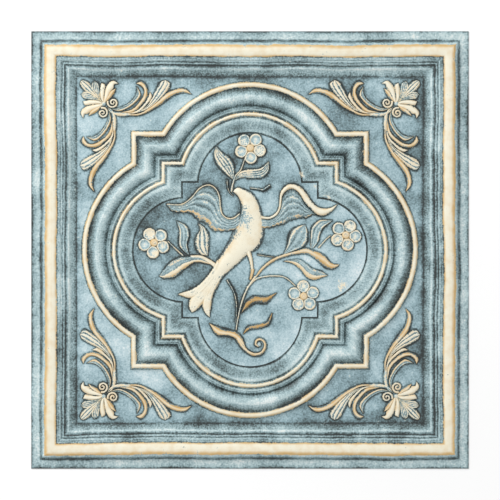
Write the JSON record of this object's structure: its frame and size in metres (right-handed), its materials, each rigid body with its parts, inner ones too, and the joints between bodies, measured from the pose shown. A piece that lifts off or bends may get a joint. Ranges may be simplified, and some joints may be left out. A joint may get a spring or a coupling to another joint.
{
  "type": "decorative ceiling tile",
  "caption": "Square ceiling or wall tile of thin formed sheet with a moulded border, a barbed quatrefoil moulding and an embossed bird and blossom panel.",
  "frame": {"origin": "middle of the tile's back plane, where the rim of its lip rests", "axes": "+Z out of the decorated face, +X and +Y along the sides, the bird upright with its head towards +Y"},
  "size_m": [0.603, 0.603, 0.0115],
  "materials": {
    "painted_sheet": "matte"
  },
  "bodies": {
    "root": {"tile": "painted_sheet"}
  },
  "joints": []
}
